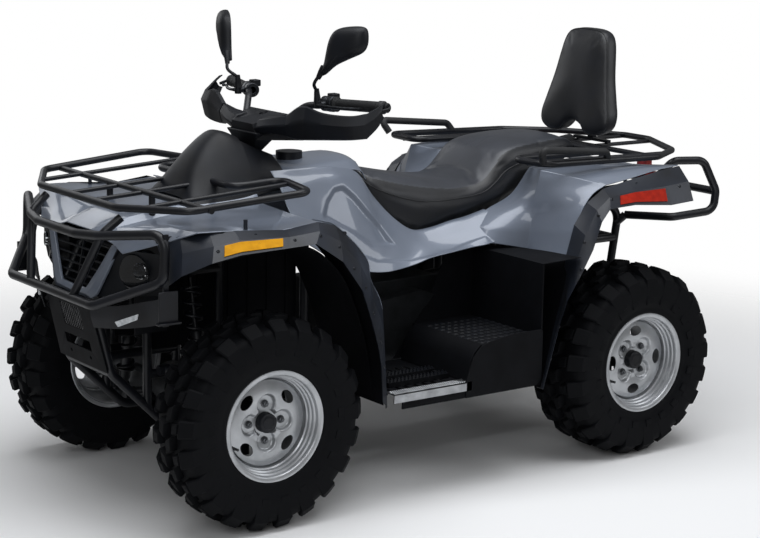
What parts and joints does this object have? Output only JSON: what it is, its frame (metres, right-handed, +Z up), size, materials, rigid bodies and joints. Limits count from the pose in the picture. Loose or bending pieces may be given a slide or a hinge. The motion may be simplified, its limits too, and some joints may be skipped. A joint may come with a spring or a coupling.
{
  "type": "quad bike",
  "caption": "Two-seat utility quad bike with tubular racks and guards, silver body panels, black arch mouldings, steel wheels with lugged tyres, steering and a backrest.",
  "frame": {"origin": "centre of the bike's box, on the ground", "axes": "+X forward, +Y to the rider's left, +Z up"},
  "size_m": [2.414, 1.186, 1.4302],
  "materials": {
    "tyre": "matte",
    "wheel_steel": "satin",
    "hub_steel": "satin",
    "black_steel": "matte",
    "cast_aluminium": "matte",
    "shaft_steel": "satin",
    "silver_plastic": "gloss",
    "black_plastic": "matte",
    "black_vinyl": "satin",
    "black_rubber": "matte",
    "bright_aluminium": "satin",
    "lamp_dark": "gloss",
    "lamp_clear": "gloss",
    "lamp_red": "gloss",
    "reflector": "gloss",
    "silencer_steel": "satin"
  },
  "bodies": {
    "chassis": {"backrest": "black_vinyl", "backrest_post": "black_steel", "cowl": "black_plastic", "differentials": "cast_aluminium", "engine_block": "cast_aluminium", "engine_covers": "cast_aluminium", "fascia_panels": "black_plastic", "fascia_surround": "silver_plastic", "footwells": "black_plastic", "frame": "black_steel", "front_arms": "black_steel", "front_fairing": "silver_plastic", "front_flares": "black_plastic", "front_guard": "black_steel", "front_markers": "lamp_clear", "front_rack": "black_steel", "fuel_cap": "black_plastic", "grab_handles": "black_rubber", "grille": "black_plastic", "half_shafts": "shaft_steel", "headlamps": "lamp_dark", "hitch_plate": "black_steel", "mudguard_liners": "black_plastic", "rear_arms": "black_steel", "rear_fairing": "silver_plastic", "rear_flares": "black_plastic", "rear_guard": "black_steel", "rear_knuckles": "hub_steel", "rear_rack": "black_steel", "reflectors": "reflector", "seat": "black_vinyl", "shocks": "hub_steel", "silencer": "silencer_steel", "sill_strips": "bright_aluminium", "skid_plates": "black_plastic", "tail_lamps": "lamp_red", "tank_panels": "silver_plastic"},
    "steering": {"steering_column": "black_steel", "handlebar": "black_steel", "grips": "black_rubber", "controls": "black_plastic", "hand_guards": "black_plastic", "mirrors": "black_plastic", "handlebar_cover": "black_plastic"},
    "knuckle_left": {"front_knuckle_left": "hub_steel"},
    "knuckle_right": {"front_knuckle_right": "hub_steel"},
    "tie_rod_left": {"tie_rod_left": "black_steel"},
    "tie_rod_right": {"tie_rod_right": "black_steel"},
    "wheel_front_left": {"tyre_front_left": "tyre", "rim_front_left": "wheel_steel", "hub_front_left": "hub_steel"},
    "wheel_front_right": {"tyre_front_right": "tyre", "rim_front_right": "wheel_steel", "hub_front_right": "hub_steel"},
    "wheel_rear_left": {"tyre_rear_left": "tyre", "rim_rear_left": "wheel_steel", "hub_rear_left": "hub_steel"},
    "wheel_rear_right": {"tyre_rear_right": "tyre", "rim_rear_right": "wheel_steel", "hub_rear_right": "hub_steel"}
  },
  "joints": [
    {"name": "steer", "type": "hinge", "parent": "chassis", "child": "steering", "pos_m": [0.7, 0, 0.39], "axis": [-0.309, 0, 0.9511], "range_deg": [-36, 36]},
    {"name": "kingpin_left", "type": "hinge", "parent": "chassis", "child": "knuckle_left", "pos_m": [0.77, 0.395, 0.3175], "axis": [0, 0, 1], "range_deg": [-30, 30]},
    {"name": "rod_end_left", "type": "hinge", "parent": "knuckle_left", "child": "tie_rod_left", "pos_m": [0.68, 0.395, 0.3693], "axis": [0, 0, 1], "range_deg": [-30, 30]},
    {"name": "spin_front_left", "type": "hinge", "parent": "knuckle_left", "child": "wheel_front_left", "pos_m": [0.77, 0.4765, 0.3175], "axis": [0, 1, 0], "continuous": true},
    {"name": "spin_rear_left", "type": "hinge", "parent": "chassis", "child": "wheel_rear_left", "pos_m": [-0.66, 0.4695, 0.3175], "axis": [0, 1, 0], "continuous": true},
    {"name": "kingpin_right", "type": "hinge", "parent": "chassis", "child": "knuckle_right", "pos_m": [0.77, -0.395, 0.3175], "axis": [0, 0, 1], "range_deg": [-30, 30]},
    {"name": "rod_end_right", "type": "hinge", "parent": "knuckle_right", "child": "tie_rod_right", "pos_m": [0.68, -0.395, 0.3693], "axis": [0, 0, 1], "range_deg": [-30, 30]},
    {"name": "spin_front_right", "type": "hinge", "parent": "knuckle_right", "child": "wheel_front_right", "pos_m": [0.77, -0.4765, 0.3175], "axis": [0, 1, 0], "continuous": true},
    {"name": "spin_rear_right", "type": "hinge", "parent": "chassis", "child": "wheel_rear_right", "pos_m": [-0.66, -0.4695, 0.3175], "axis": [0, 1, 0], "continuous": true}
  ],
  "couplings": [
    {"joint": "kingpin_left", "follows": "steer", "ratio": 0.8333},
    {"joint": "rod_end_left", "follows": "steer", "ratio": -0.8333},
    {"joint": "kingpin_right", "follows": "steer", "ratio": 0.8333},
    {"joint": "rod_end_right", "follows": "steer", "ratio": -0.8333}
  ]
}
